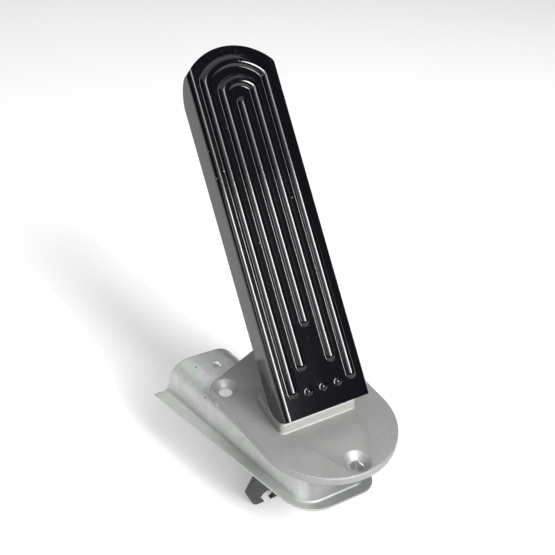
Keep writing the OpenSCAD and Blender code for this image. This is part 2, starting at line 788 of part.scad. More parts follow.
base_plate();
housing();
treadle();
arm_bracket();
arm_sleeve();
throttle_lever();
pivot_pin();
pin_circlip();
bush(-1);  // bush_left
bush(1);  // bush_right
washer(-1);  // washer_left
washer(1);  // washer_right
spring(-1);  // spring_left
spring(1);  // spring_right
idle_bumper();
stop_screw();
stop_locknut();
cover_screw(0);  // cover_screw_1
cover_screw(1);  // cover_screw_2
cover_screw(2);  // cover_screw_3
cover_screw(3);  // cover_screw_4
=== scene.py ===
"""Looks of the floor-mounted accelerator pedal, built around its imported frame.

Shapes are worked out in millimetres in the part's frame: X to the right across the treadle, Y away
from the driver, Z up from the floor, with the origin at the front fixing hole under the plate.
"""

import math

import bpy
import numpy as np
from mathutils import Matrix


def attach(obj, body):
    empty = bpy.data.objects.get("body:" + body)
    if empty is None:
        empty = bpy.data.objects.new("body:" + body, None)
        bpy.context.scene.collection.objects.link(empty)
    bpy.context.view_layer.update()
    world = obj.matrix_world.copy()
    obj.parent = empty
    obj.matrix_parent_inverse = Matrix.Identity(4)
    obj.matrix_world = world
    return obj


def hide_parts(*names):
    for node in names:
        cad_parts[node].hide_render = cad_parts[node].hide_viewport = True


MM = 0.001
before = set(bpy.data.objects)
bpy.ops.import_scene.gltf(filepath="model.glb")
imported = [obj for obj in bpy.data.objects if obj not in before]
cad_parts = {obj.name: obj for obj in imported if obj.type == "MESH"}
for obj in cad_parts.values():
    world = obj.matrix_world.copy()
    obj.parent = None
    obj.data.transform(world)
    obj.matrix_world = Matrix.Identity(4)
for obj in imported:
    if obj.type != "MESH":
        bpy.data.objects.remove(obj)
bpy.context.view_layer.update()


# ---------------------------------------------------------------- mesh helpers


def grid_faces(rows, cols, wrap=False, flip=False):
    """Quads of a grid of rows x cols points; wrap joins the last column to the first."""
    last = cols if wrap else cols - 1
    i, j = np.meshgrid(np.arange(rows - 1), np.arange(last), indexing="ij")
    a = i * cols + j
    b = i * cols + (j + 1) % cols
    quads = np.stack([a, b, b + cols, a + cols], -1).reshape(-1, 4)
    return quads[:, ::-1] if flip else quads


def make_object(name, points, faces, sharp=35.0):
    """An object with these points, in millimetres, smooth except at edges over sharp degrees."""
    mesh = bpy.data.meshes.new(name)
    mesh.from_pydata((np.asarray(points, float) * MM).tolist(), [], [list(map(int, f)) for f in faces])
    mesh.update()
    obj = bpy.data.objects.new(name, mesh)
    bpy.context.scene.collection.objects.link(obj)
    shade(obj, sharp)
    return obj


def shade(obj, sharp=35.0):
    """Smooth shading, with edges over sharp degrees kept sharp."""
    mesh = obj.data
    mesh.polygons.foreach_set("use_smooth", np.ones(len(mesh.polygons), bool))
    mesh.set_sharp_from_angle(angle=math.radians(sharp))


def stack(name, rings, sharp=35.0):
    """Closed solid from rings (rings x points x 3), each joined to the next, with flat ends."""
    rings = np.asarray(rings, float)
    count, size = rings.shape[:2]
    caps = [np.arange(size)[::-1], np.arange(size) + (count - 1) * size]
    faces = [*grid_faces(count, size, wrap=True), *caps]
    return make_object(name, rings.reshape(-1, 3), faces, sharp)


def lathe(name, profile, centre, axis="z", steps=64):
    """(radius, height) pairs turned about an axis through centre, with flat ends."""
    profile = np.asarray(profile, float)
    turn = np.linspace(0, 2 * np.pi, steps, endpoint=False)
    r, h = profile[:, :1], profile[:, 1:]
    ring = np.stack([r * np.cos(turn), r * np.sin(turn), h + 0 * turn], -1)
    order = {"z": [0, 1, 2], "y": [1, 2, 0], "x": [2, 0, 1]}[axis]
    return stack(name, ring[..., order] + np.asarray(centre, float))


def tube(name, path, radius, sharp=60.0, sides=14):
    """A round wire carried along a path, kept square to it by turning one side vector along."""
    path = np.asarray(path, float)
    ahead = np.gradient(path, axis=0)
    ahead /= np.linalg.norm(ahead, axis=1, keepdims=True)
    side = np.zeros_like(path)
    side[0] = np.cross(ahead[0], [1.0, 0.3, 0.1])
    for i in range(1, len(path)):
        side[i] = side[i - 1] - ahead[i] * np.dot(side[i - 1], ahead[i])
    side /= np.linalg.norm(side, axis=1, keepdims=True)
    other = np.cross(ahead, side)
    turn = np.linspace(0, 2 * np.pi, sides, endpoint=False)
    wide = np.broadcast_to(np.asarray(radius, float), len(path))[:, None, None]
    c, s = np.cos(turn)[None, :, None], np.sin(turn)[None, :, None]
    return stack(name, path[:, None] + wide * (c * side[:, None] + s * other[:, None]), sharp)


def give_thickness(obj, thickness):
    """Turns a sheet's outer face into a wall of this thickness, in millimetres, built inwards."""
    sheet = obj.modifiers.new("sheet", "SOLIDIFY")
    sheet.thickness = thickness * MM
    sheet.offset = -1.0
    sheet.use_even_offset = True


def apply_modifiers(obj):
    """Puts the modifiers' result into the mesh."""
    shape = obj.evaluated_get(bpy.context.evaluated_depsgraph_get())
    mesh = bpy.data.meshes.new_from_object(shape)
    obj.modifiers.clear()
    obj.data = mesh
    return obj


def combine(obj, others, operation="DIFFERENCE"):
    """Cuts the others out of obj, or joins them to it, and deletes them."""
    for other in others:
        mod = obj.modifiers.new("cut", "BOOLEAN")
        mod.operation = operation
        mod.object = other
        mod.solver = "EXACT"
    apply_modifiers(obj)
    for other in others:
        bpy.data.objects.remove(other)
    return obj


def finish_piece(obj, body, material, replaces=()):
    """Gives a piece its material, the body that carries it and the CAD nodes that it stands for."""
    obj.data.materials.clear()
    obj.data.materials.append(material)
    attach(obj, body)
    if replaces:
        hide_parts(*replaces)
    return obj


# ---------------------------------------------------------------- shader helpers


class Value:
    """A number socket in a material, for sums such as 1 - mask * 2."""

    def __init__(self, paint, socket):
        self.paint, self.socket = paint, socket

    def math(self, operation, *others):
        return self.paint.math(operation, self, *others)

    def __add__(self, o):
        return self.math("ADD", o)

    def __mul__(self, o):
        return self.math("MULTIPLY", o)

    def __sub__(self, o):
        return self.math("SUBTRACT", o)

    def __rsub__(self, o):
        return self.paint.math("SUBTRACT", o, self)

    def __pow__(self, o):
        return self.math("POWER", o)

    __radd__ = __add__
    __rmul__ = __mul__

    def highest(self, o):
        return self.math("MAXIMUM", o)

    def between(self, low, high):
        """0 at low, 1 at high, smooth and limited."""
        node = self.paint.node(
            "ShaderNodeMapRange",
            {"interpolation_type": "SMOOTHSTEP", "clamp": True},
            {"Value": self, "From Min": low, "From Max": high},
        )
        return Value(self.paint, node.outputs["Result"])


class Paint:
    """A material made of nodes, with its Principled shader."""

    def __init__(self, name):
        self.material = bpy.data.materials.new(name)
        self.material.use_nodes = True
        self.tree = self.material.node_tree
        self.shader = self.tree.nodes["Principled BSDF"]
        self.place = self.node("ShaderNodeTexCoord", {}, {}).outputs["Object"]

    def feed(self, socket, value):
        """Gives an input a link, or sets it to a number, a vector or an opaque colour."""
        if isinstance(value, Value):
            value = value.socket
        if isinstance(value, bpy.types.NodeSocket):
            self.tree.links.new(value, socket)
        elif hasattr(value, "__len__"):
            socket.default_value = (*value, 1.0)[: len(socket.default_value)]
        else:
            socket.default_value = value

    def node(self, kind, settings, inputs):
        """Adds a node: its settings first, then each input, a socket to link or a value to set."""
        node = self.tree.nodes.new(kind)
        for key, value in settings.items():
            setattr(node, key, value)
        for key, value in inputs.items():
            self.feed(node.inputs[key], value)
        return node

    def math(self, operation, *values):
        node = self.node("ShaderNodeMath", {"operation": operation}, dict(enumerate(values)))
        return Value(self, node.outputs[0])

    def axes(self):
        """X, Y and Z of the surface, in metres."""
        node = self.node("ShaderNodeSeparateXYZ", {}, {"Vector": self.place})
        return [Value(self, s) for s in node.outputs]

    def noise(self, scale, detail=3.0, rough=0.5, stretch=(1, 1, 1), shift=0.0):
        """Noise from 0 to 1 with features about 1/scale metres wide."""
        turned = {"Vector": self.place, "Scale": stretch, "Location": (shift, shift, shift)}
        spot = self.node("ShaderNodeMapping", {}, turned).outputs[0]
        look = {"Vector": spot, "Scale": scale, "Detail": detail, "Roughness": rough}
        return Value(self, self.node("ShaderNodeTexNoise", {}, look).outputs["Fac"])

    def cells(self, scale):
        """Distance to the nearest of points that are strewn about 1/scale metres apart."""
        node = self.node("ShaderNodeTexVoronoi", {}, {"Vector": self.place, "Scale": scale})
        return Value(self, node.outputs["Distance"])

    def spots(self, centres, reach, fade):
        """1 within fade of a centre given in millimetres, and 0 past reach from it, in metres."""
        best = None
        for centre in centres:
            away = [axis - c * MM for axis, c in zip(self.axes(), centre)]
            square = away[0] * away[0] + away[1] * away[1]
            if len(away) == 3:
                square = square + away[2] * away[2]
            near = (square**0.5).between(reach, fade)
            best = near if best is None else best.highest(near)
        return best

    def blend(self, mask, low, high):
        """Colour low where the mask is 0 and high where it is 1."""
        node = self.node("ShaderNodeMix", {"data_type": "RGBA"}, {0: mask, 6: low, 7: high})
        return node.outputs[2]

    def bump(self, height, strength, distance):
        """Bump from a height from 0 to 1 over a distance in metres."""
        inputs = {"Height": height, "Strength": strength, "Distance": distance}
        self.feed(self.shader.inputs["Normal"], self.node("ShaderNodeBump", {}, inputs).outputs[0])

    def set(self, **inputs):
        """Sets or links inputs of the Principled shader, named with _ for spaces."""
        for key, value in inputs.items():
            self.feed(self.shader.inputs[key.replace("_", " ")], value)
        return self.material


# ---------------------------------------------------------------- sizes, as in the source

PLATE_T = 5.5
LOBES = [(0.0, 36.0, 45.8), (32.0, 125.5, 10.0), (-42.6, 91.0, 10.0)]
HOLES = [(0.0, 0.0), (32.0, 125.5), (-42.6, 91.0)]
BOLT_R, SINK_R = 4.5, 8.5
MID_X = -3.0
COLLAR_Y, COLLAR_W, COLLAR_D, COLLAR_TOP = 38.0, 56.0, 33.0, 13.0
PIVOT = np.array([MID_X, 52.0, 6.5])
PIN_R, SLEEVE_R = 4.0, 6.2
MOUTH_W, MOUTH_Y0, MOUTH_Y1 = 36.0, 42.5, 66.5
STOP_X, STOP_Z, LUG_Y0, LUG_L = -10.0, -9.0, 34.0, 8.0
SHEET_T, HOUSE_H, HOUSE_BACK, HOUSE_FRONT = 1.5, 23.4, 135.2, 4.5
PITS = [(-49.4, 123.7, -0.3), (-53.1, 100.9, -7.6)]
SCREW_SPOTS = [(-13.4, 22.8), (-26.5, 78.0), (-28.8, 90.0), (-31.0, 101.5)]
TOE = np.array([MID_X, 29.0, 24.8])
LEAN = math.radians(50.2)
TREAD_W, TREAD_L, TREAD_T, TREAD_D = 60.0, 228.0, 1.5, 19.5
BEND_R, CROWN_R = 3.0, 39.1
CROWN_C = TREAD_L - CROWN_R
# A U-shaped rib: half its width, its foot, its crown arc's centre and radius, its corners' radius.
OUTER_RIB = (20.4, 15.8, 193.0, 25.4, 7.0)
INNER_RIB = (10.32, 29.7, 193.0, 13.1, 4.0)
MID_RIB_FOOT, MID_RIB_HEAD = 54.5, 192.0
RIB_W, RIB_H, RIB_SOFT = 7.0, 2.0, 0.45
DOME_W, DOME_H, DOME_SOFT, DOME_GAP, DOME_T = 4.6, 1.3, 0.3, 10.4, 13.2
LANCE_X, LANCE_Y, LANCE_W, LANCE_L = -35.4, HOUSE_BACK - 14.5, 6.0, 7.0


# ---------------------------------------------------------------- materials


def black_enamel():
    """Gloss black stoved enamel: a faint navy tint, orange peel, fine scratches and dust."""
    p = Paint("black_enamel")
    drift = p.noise(18.0, 2.0, shift=3.1)
    scratch = p.noise(800.0, 2.0, 0.6, stretch=(1.0, 0.10, 0.08), shift=1.7).between(0.68, 0.74)
    specks = p.cells(230.0).between(0.105, 0.075) * p.noise(48.0, 2.0, shift=8.0).between(0.60, 0.64)
    base = p.blend(drift, (0.0012, 0.0013, 0.0018), (0.0020, 0.0023, 0.0040))
    worn = p.blend(scratch * 0.08, base, (0.10, 0.105, 0.12))
    dusty = p.blend(specks * 0.6, worn, (0.35, 0.35, 0.35))
    rough = 0.09 + 0.03 * p.noise(30.0, 3.0) + 0.05 * scratch + specks * 0.3
    peel = p.noise(230.0, 2.0, 0.4) * 0.75 + p.noise(1400.0, 1.0) * 0.05 + specks * 0.3
    p.bump(peel, 0.07, 0.0006)
    return p.set(Base_Color=dusty, Roughness=rough, Metallic=0.0, IOR=1.5)


def cast_aluminium():
    """Satin die-cast aluminium: fine grain, faint clouds, machined countersinks, and a painted
    highlight on the collar's front face.
    """
    p = Paint("cast_aluminium")
    _, y, z = p.axes()
    cloud = p.noise(38.0, 4.0, 0.6)
    grain = p.noise(2600.0, 2.0, 0.7)
    pits = p.cells(900.0).between(0.16, 0.08) * p.noise(210.0, 2.0, shift=5.0).between(0.6, 0.66)
    sink = p.spots(HOLES, SINK_R * MM + 0.0001, SINK_R * MM - 0.0002)
    nicks = p.cells(330.0).between(0.10, 0.06) * p.noise(60.0, 2.0, shift=2.0).between(0.55, 0.62)
    # Painted highlight: the collar's front face, above the plate, is lightened where the key lamp
    # lights it.
    before = y.between((COLLAR_Y + 2.2) * MM, (COLLAR_Y + 0.4) * MM)
    face = before * z.between((PLATE_T + 0.05) * MM, (PLATE_T + 0.8) * MM)
    base = p.blend(cloud, (0.225, 0.227, 0.222), (0.30, 0.302, 0.295))
    painted_face_highlight = p.blend(face * 0.8, base, (0.52, 0.515, 0.505))
    fleck = (grain.between(0.35, 0.75) * 0.35).highest(nicks * 0.6)
    speckled = p.blend(fleck, painted_face_highlight, (0.60, 0.60, 0.59))
    pitted = p.blend(pits * 0.55, speckled, (0.12, 0.12, 0.12))
    machined = p.blend(sink * 0.8, pitted, (0.42, 0.42, 0.42))
    rough = (0.50 + 0.12 * p.noise(90.0, 3.0)) * (1 - sink * 0.05)
    height = grain * 0.6 + cloud * 0.15 - pits * 0.5 + p.noise(700.0, 2.0) * 0.35
    p.bump(height * (1 - sink * 0.8), 0.22, 0.0004)
    return p.set(Base_Color=machined, Roughness=rough, Metallic=0.42 + 0.25 * sink, IOR=1.5)


def zinc_passivated():
    """Zinc plating, clear to faint green and lilac, mottled, with drawing marks and small dark pits;
    with painted shade down the walls, a painted shadow of the plate on the front wall and a painted
    dark reflection on the flange.
    """
    p = Paint("zinc_passivated")
    x, y, z = p.axes()
    tint = p.noise(32.0, 3.0, 0.55, shift=2.2)
    other = p.noise(55.0, 3.0, 0.6, shift=7.7)
    mottle = p.noise(160.0, 4.0, 0.65)
    streak = p.noise(260.0, 3.0, 0.6, stretch=(1.0, 0.12, 1.0))
    depth = 0 - z
    wall = depth.between(0.006, 0.019)
    # Mask of the painted shadow that the plate casts on the right part of the front wall.
    front = y.between(0.020, 0.013) * x.between(-0.031, -0.024) * depth.between(0.002, 0.006)
    green = p.blend(tint.between(0.46, 0.60), (0.54, 0.545, 0.54), (0.505, 0.56, 0.51))
    lilac = p.blend(other.between(0.52, 0.64) * 0.8, green, (0.54, 0.525, 0.56))
    light = p.blend(mottle.between(0.42, 0.66) * 0.6, lilac, (0.67, 0.68, 0.67))
    cloudy = p.noise(90.0, 4.0, 0.7, shift=5.5).between(0.52, 0.70)
    mottled = p.blend(cloudy * 0.35, light, (0.38, 0.385, 0.38))
    # Painted shade: the walls darken a little from 6 mm to 19 mm below the top.
    painted_wall_shade = p.blend(wall * 0.2, mottled, (0.36, 0.38, 0.36))
    # Painted shadow of the plate on the front wall: darker further right, under the plate, varied by
    # the mottle.
    under = x.between(-0.024, 0.002)
    painted_plate_shadow = p.blend(front * (0.35 + 0.45 * mottle + 0.3 * under), painted_wall_shade, (0.135, 0.122, 0.14))
    # Painted reflection: the flange, from 21.6 mm down, is darker green-grey where it mirrors dark
    # surroundings.
    foot = depth.between(0.0216, 0.0226)
    painted_flange_reflection = p.blend(foot * 0.45, painted_plate_shadow, (0.33, 0.37, 0.33))
    pitted = p.blend(p.spots(PITS, 0.0009, 0.0004) * 0.85, painted_flange_reflection, (0.05, 0.045, 0.045))
    rough = 0.34 + 0.16 * mottle + 0.08 * streak
    p.bump(mottle * 0.5 + streak * 0.4 + p.noise(1500.0, 2.0) * 0.2, 0.10, 0.0004)
    return p.set(Base_Color=pitted, Roughness=rough, Metallic=0.5, IOR=1.5)


def dark_coating():
    """Dark grey satin coating on pressed steel, a little lighter and rougher where it is rubbed."""
    p = Paint("dark_coating")
    rub = p.noise(120.0, 4.0, 0.6).between(0.5, 0.75)
    fine = p.noise(1900.0, 2.0, 0.6)
    base = p.blend(rub * 0.6, (0.045, 0.047, 0.05), (0.085, 0.088, 0.092))
    p.bump(fine * 0.6 + rub * 0.3, 0.2, 0.0003)
    return p.set(Base_Color=base, Roughness=0.36 + 0.18 * rub, Metallic=0.25, IOR=1.5)


def bright_zinc():
    """Bright zinc on small fasteners, with turning rings and a light tarnish."""
    p = Paint("bright_zinc")
    tarnish = p.noise(240.0, 4.0, 0.6)
    fine = p.noise(2400.0, 2.0, 0.5)
    base = p.blend(tarnish.between(0.4, 0.7), (0.56, 0.56, 0.55), (0.38, 0.38, 0.36))
    p.bump(fine, 0.15, 0.0002)
    return p.set(Base_Color=base, Roughness=0.24 + 0.2 * tarnish, Metallic=0.95)


def spring_wire():
    """Oiled spring steel: dark blue-grey with lengthwise drawing marks."""
    p = Paint("spring_wire")
    oil = p.noise(300.0, 3.0, 0.6)
    base = p.blend(oil, (0.10, 0.105, 0.115), (0.20, 0.20, 0.21))
    p.bump(p.noise(2600.0, 2.0), 0.15, 0.0002)
    return p.set(Base_Color=base, Roughness=0.28 + 0.15 * oil, Metallic=0.9)


def sintered_bronze():
    """Sintered bronze: warm brown, porous and matte."""
    p = Paint("sintered_bronze")
    pores = p.cells(1900.0).between(0.30, 0.12)
    base = p.blend(pores * 0.7, (0.50, 0.31, 0.14), (0.16, 0.09, 0.04))
    p.bump(1 - pores, 0.35, 0.0002)
    return p.set(Base_Color=base, Roughness=0.55 + 0.2 * pores, Metallic=0.8)


def black_rubber():
    """Moulded black rubber with a faint grey bloom."""
    p = Paint("black_rubber")
    bloom = p.noise(350.0, 4.0, 0.6)
    base = p.blend(bloom.between(0.45, 0.75) * 0.5, (0.018, 0.018, 0.018), (0.07, 0.07, 0.07))
    p.bump(p.noise(1500.0, 3.0), 0.3, 0.0003)
    return p.set(Base_Color=base, Roughness=0.6 + 0.25 * bloom)


def weld_metal():
    """Dark weld beads under the enamel."""
    p = Paint("weld_metal")
    scale = p.noise(900.0, 3.0, 0.6)
    base = p.blend(scale, (0.012, 0.012, 0.014), (0.05, 0.05, 0.055))
    p.bump(scale, 0.3, 0.0003)
    return p.set(Base_Color=base, Roughness=0.3 + 0.25 * scale, Metallic=0.1, Coat_Weight=0.3)


# ---------------------------------------------------------------- treadle


def on_treadle(points):
    """Moves points given across, along and out of the tread face into the part's frame."""
    s, t, n = np.moveaxis(np.asarray(points, float), -1, 0)
    c, d = math.cos(LEAN), math.sin(LEAN)
    return np.stack([TOE[0] + s, TOE[1] + t * c - n * d, TOE[2] + t * d + n * c], -1)


def loop_path(half, foot, centre, ring, corner):
    """Centre line of a U-shaped rib: a leg, a small corner arc, the crown's flat arc, and back down."""
    knee_x = half - corner
    knee_y = centre + math.sqrt((ring - corner) ** 2 - knee_x**2)
    turn = math.atan2(knee_y - centre, knee_x)
    a = np.linspace(0, turn, 8)
    b = np.linspace(turn, np.pi / 2, 14)
    right = np.concatenate(
        [
            [[half, foot]],
            np.stack([knee_x + corner * np.cos(a), knee_y + corner * np.sin(a)], -1),
            np.stack([ring * np.cos(b), centre + ring * np.sin(b)], -1),
        ]
    )
    return np.concatenate([right, (right * [-1, 1])[::-1][1:]])


def path_distance(s, t, path):
    """Distance from each point of a grid to the nearest stretch of a path."""
    best = np.full(s.shape, 1e9)
    for (ax, ay), (bx, by) in zip(path[:-1], path[1:]):
        ex, ey = bx - ax, by - ay
        k = np.clip(((s - ax) * ex + (t - ay) * ey) / (ex * ex + ey * ey + 1e-12), 0, 1)
        best = np.minimum(best, np.hypot(s - ax - k * ex, t - ay - k * ey))
    return best


def above_zero(height, soft):
    """The height where it is over zero, else zero, joined by a parabola within soft of zero."""
    near = np.clip(height + soft, 0.0, 2.0 * soft)
    return np.where(height > soft, height, near**2 / (4.0 * soft))


def cap_height(away, wide, high):
    """Height of a circle's cap at a distance from its middle, below zero past its foot: the circle's
    height at that distance, less the height where the cap is its full width."""
    radius = ((wide / 2) ** 2 + high**2) / (2 * high)
    return np.sqrt(np.maximum(radius**2 - away**2, 0.0)) - (radius - high)


def tread_height(s, t):
    """Height of the pressed face: caps of a circle along the ribs' paths and over the three domes,
    each with a small fillet at its foot."""
    middle = np.array([[0.0, MID_RIB_FOOT], [0.0, MID_RIB_HEAD]])
    paths = [loop_path(*OUTER_RIB), loop_path(*INNER_RIB), middle]
    away = np.minimum.reduce([path_distance(s, t, p) for p in paths])
    height = above_zero(cap_height(away, RIB_W, RIB_H), RIB_SOFT)
    for k in (-1, 0, 1):
        off = np.hypot(s - DOME_GAP * k, t - DOME_T)
        height = np.maximum(height, above_zero(cap_height(off, DOME_W, DOME_H), DOME_SOFT))
    return height


def tread_columns():
    """Places across the flat face: close together at the ribs' feet, and a few between them."""
    step = np.array([4.3, 4.0, 3.75, 3.6, 3.5, 3.4, 3.25, 3.0, 2.6, 2.0, 1.4, 0.7])
    around = np.concatenate([-step, [0.0], step[::-1]])
    outer, inner = OUTER_RIB[0], INNER_RIB[0]
    ribs = [centre + around for centre in (-outer, -inner, 0.0, inner, outer)]
    between = np.array([inner / 2, (inner + outer) / 2, 25.6, 26.4])
    return np.sort(np.concatenate([*ribs, -between, between]))


def tread_rows():
    """Shares of the way from toe to crown, close together at domes, ribs' feet and the crown."""
    ends = [0.0, 0.035, 0.095, 0.108, 0.150, 0.212, 0.262, 0.77, 1.0]
    counts = [6, 30, 3, 20, 8, 24, 34, 112]
    spans = [np.linspace(a, b, n, endpoint=False) for a, b, n in zip(ends, ends[1:], counts)]
    return np.concatenate([*spans, [1.0]])


def treadle(material):
    """The pressed sheet as one grid, given its thickness inwards. Across, it goes from the left
    flange's edge over both bends to the right one's; along, from the toe to the crown's arc, raised by
    the ribs' height. The flanges' ends are arcs too, of the heel's and the nose's radius."""
    half, r = TREAD_W / 2, BEND_R
    heel, nose = 12.0, 20.0
    flange = np.linspace(-TREAD_D, -r, 14)[:-1]
    bend = np.linspace(np.pi, np.pi / 2, 10)
    flat = tread_columns()
    left_s = np.concatenate([np.full(len(flange), -half), -half + r + r * np.cos(bend)])
    left_n = np.concatenate([flange, -r + r * np.sin(bend)])
    s = np.concatenate([left_s, flat, -left_s[::-1]])
    n = np.concatenate([left_n, 0 * flat, left_n[::-1]])
    nose_c = CROWN_C + math.sqrt(CROWN_R**2 - half**2) - nose + 1.0
    into = np.maximum(-n - (TREAD_D - heel), 0.0)
    low = heel - np.sqrt(heel**2 - into**2)
    top_face = CROWN_C + np.sqrt(CROWN_R**2 - s**2)
    top_side = np.where(n > -TREAD_T, TREAD_L, nose_c + np.sqrt(np.maximum(nose**2 - n**2, 0.0)))
    top = np.minimum(top_face, top_side)
    v = tread_rows()
    t = low + (top - low) * v[:, None]
    grid_s = np.broadcast_to(s, t.shape)
    grid_n = n + np.where(n > -0.4, tread_height(grid_s, t), 0.0)
    points = on_treadle(np.stack([grid_s, t, grid_n], -1)).reshape(-1, 3)
    obj = make_object("treadle_pressing", points, grid_faces(len(v), len(s)), 40.0)
    give_thickness(obj, TREAD_T)
    apply_modifiers(obj)
    shade(obj, 40.0)
    return finish_piece(obj, "pedal", material, ("treadle",))


# ---------------------------------------------------------------- base plate


def hull_outline(inset):
    """Outline of the plate: arcs round the three lobes and the straight tangents between them."""
    lobes = np.array(LOBES)
    points = []
    for i in range(3):
        prev, here, after = lobes[i - 1], lobes[i], lobes[(i + 1) % 3]

        def touch(p, q):
            d = q[:2] - p[:2]
            return math.atan2(d[1], d[0]) - math.acos((p[2] - q[2]) / np.hypot(*d))

        start, end = touch(prev, here), touch(here, after)
        while end < start:
            end += 2 * math.pi
        a = np.linspace(start, end, 90 if i == 0 else 28)
        arc = here[:2] + (here[2] - inset) * np.stack([np.cos(a), np.sin(a)], -1)
        points.append(arc)
        first = after[:2] + (after[2] - inset) * np.array([math.cos(end), math.sin(end)])
        points.append(arc[-1] + (first - arc[-1]) * np.linspace(0, 1, 22)[1:-1, None])
    return np.concatenate(points)


def round_rect(x0, x1, y0, y1, r, inset=0.0, steps=9):
    """Outline of a rectangle with round corners, less an inset, counterclockwise."""
    a = np.linspace(0, np.pi / 2, steps)
    corners = [(x1 - r, y1 - r, 0), (x0 + r, y1 - r, 1), (x0 + r, y0 + r, 2), (x1 - r, y0 + r, 3)]
    out = []
    for cx, cy, q in corners:
        b = a + q * np.pi / 2
        out.append(np.stack([cx + (r - inset) * np.cos(b), cy + (r - inset) * np.sin(b)], -1))
    return np.concatenate(out)


def raised(outline_of, profile):
    """Rings of an outline at each (inset, height) of a profile."""
    return [
        np.concatenate([o, np.full((len(o), 1), h)], 1)
        for o, h in ((outline_of(inset), h) for inset, h in profile)
    ]


def rounded_top(top, r, steps=7):
    """(inset, height) pairs over a rounded upper edge."""
    a = np.linspace(0, np.pi / 2, steps)
    return list(zip(r - r * np.cos(a), top - r + r * np.sin(a)))


def round_post(name, box, r, profile, steps=9):
    """An upright post over a box (x0, x1, y0, y1) with round corners, inset as the profile says."""
    return stack(name, raised(lambda inset: round_rect(*box, r, inset, steps), profile))


def stop_lug():
    """Lug of the full-throttle stop: a tab with a round end, carried along Y, its edges softened."""
    r, edge = 6.0, 0.6
    b = np.linspace(np.pi, 2 * np.pi, 21)
    end = np.stack([STOP_X + r * np.cos(b), STOP_Z + r * np.sin(b)], -1)
    outline = np.concatenate([[[STOP_X + r, 1.0], [STOP_X - r, 1.0]], end])
    centre = np.array([STOP_X, STOP_Z + 3])
    rings = []
    for inset, y in [(edge, 0.0), (0.0, edge), (0.0, LUG_L - edge), (edge, LUG_L)]:
        x, z = (centre + (outline - centre) * (1 - inset / r)).T
        rings.append(np.stack([x, np.full(len(x), LUG_Y0 + y), np.maximum(z, -15)], -1))
    return stack("lug", np.array(rings)[:, ::-1])


def plate_bores():
    """What is cut out of the casting: mouth, countersunk holes, and the pivot's and stops' bores."""
    mouth_box = (MID_X - MOUTH_W / 2, MID_X + MOUTH_W / 2, MOUTH_Y0, MOUTH_Y1)
    flare = [(0.0, -6.0), (0.0, COLLAR_TOP - 0.5), (-0.5, COLLAR_TOP), (-0.5, COLLAR_TOP + 2)]
    cutters = [round_post("mouth", mouth_box, 1.6, flare, 5)]
    sink = [
        (BOLT_R + 0.3, -1.0),
        (BOLT_R + 0.3, 0.0),
        (BOLT_R, 0.3),
        (BOLT_R, PLATE_T - SINK_R + BOLT_R),
        (SINK_R - 0.1, PLATE_T - 0.1),
        (SINK_R + 0.25, PLATE_T + 0.02),
        (SINK_R + 0.3, PLATE_T + 1.0),
    ]
    for i, (hx, hy) in enumerate(HOLES):
        cutters.append(lathe(f"sink_{i}", sink, (hx, hy, 0.0), "z", 72))
    left, right = MID_X - MOUTH_W / 2 - 6.0, MID_X + COLLAR_W / 2
    px, py, pz = PIVOT
    pin_r = PIN_R + 0.01
    pad_at, stop_at = (MID_X, MOUTH_Y0 - 2.0, 8.5), (STOP_X, LUG_Y0, STOP_Z)
    dot_at = (MID_X - COLLAR_W / 2, 56.4, 11.4)
    cutters += [
        lathe("bore", [(pin_r, 0.0), (pin_r, COLLAR_W)], (left, py, pz), "x", 48),
        lathe("ring_seat", [(6.2, -2.6), (6.2, 1.5)], (right, py, pz), "x", 48),
        lathe("pad_seat", [(3.25, 0.0), (3.25, 3.0)], pad_at, "y", 32),
        lathe("stop_bore", [(3.02, -1.0), (3.02, LUG_L + 1)], stop_at, "y", 40),
    ]
    for i, (sx, sy) in enumerate(SCREW_SPOTS):
        cutters.append(lathe(f"tap_{i}", [(2.52, -1.0), (2.52, 3.9)], (sx, sy, 0.0), "z", 28))
    return [*cutters, lathe("dot", [(0.9, -0.6), (0.9, 1.0)], dot_at, "x", 24)]


def base_plate(material):
    """Casting: the plate and the collar as stacked outlines with rounded edges, the collar with a
    fillet round its foot, joined to the lug, less the bores."""
    rim = [(0.4, 0.0), (0.02, 0.4), (0.02, 2.4), *rounded_top(PLATE_T, 1.2)]
    plate = stack("base_casting", raised(hull_outline, rim), 30.0)
    box = (MID_X - COLLAR_W / 2, MID_X + COLLAR_W / 2, COLLAR_Y, COLLAR_Y + COLLAR_D)
    r = 1.3
    a = np.linspace(0, np.pi / 2, 6)
    foot = [(r * math.sin(k) - r, PLATE_T + r - r * math.cos(k)) for k in a]
    sides = [(-r, PLATE_T - 1.5), *foot, *rounded_top(COLLAR_TOP, 1.1)]
    combine(plate, [round_post("collar", box, 4.0, sides)], "UNION")
    combine(plate, [stop_lug()], "UNION")
    combine(plate, plate_bores())
    shade(plate, 30.0)
    return finish_piece(plate, "base", material, ("base_plate",))


# ---------------------------------------------------------------- housing

LEFT_FOOT, LEFT_DIR = np.array([-67.0, HOUSE_BACK]), math.radians(105.3)
RIGHT_FOOT, RIGHT_DIR = np.array([-13.0, HOUSE_BACK]), math.radians(101.5)
EDGE_LEFT, EDGE_DIR = np.array([-76.5, HOUSE_BACK]), math.radians(106.9)
FLANGE_W, FOOT_R = 6.9, 2.2
SIDE_R, FRONT_R = 14.0, 8.0
DRAFT = math.radians(14.0)


def line_at(point, normal, y):
    """Where the line through a point, square to a normal, meets the given y."""
    return np.array([(normal @ point - normal[1] * y) / normal[0], y])


